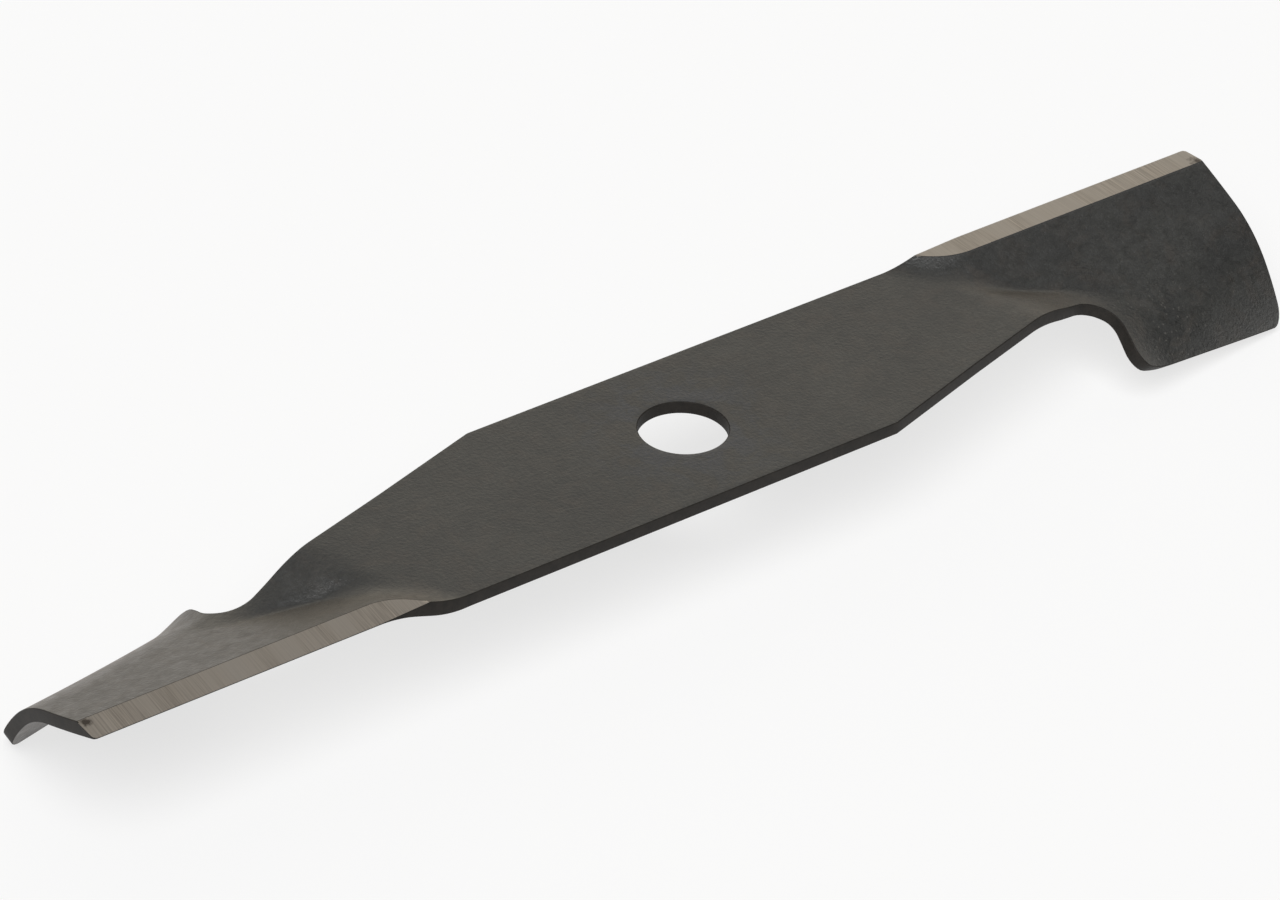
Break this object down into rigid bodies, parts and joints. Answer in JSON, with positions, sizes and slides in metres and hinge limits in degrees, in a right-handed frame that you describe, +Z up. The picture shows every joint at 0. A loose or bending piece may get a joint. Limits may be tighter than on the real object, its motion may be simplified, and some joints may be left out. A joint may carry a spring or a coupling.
{
  "type": "rotary mower blade",
  "caption": "Long flat mower blade with a central bore, raised ground cutting edges and a downturned wing behind each edge.",
  "frame": {"origin": "centre of the bore on the upper face of the flat middle", "axes": "+X along the blade's length, +Y across it towards the cutting edge of the +X end, +Z up along the bore, as it lies in the picture with the wings down"},
  "size_m": [0.365, 0.0546, 0.0307],
  "materials": {
    "blade_steel": "dark satin oxide coat, bare ground steel on the cutting edges"
  },
  "bodies": {
    "root": {"mower_blade": "blade_steel"}
  },
  "joints": []
}
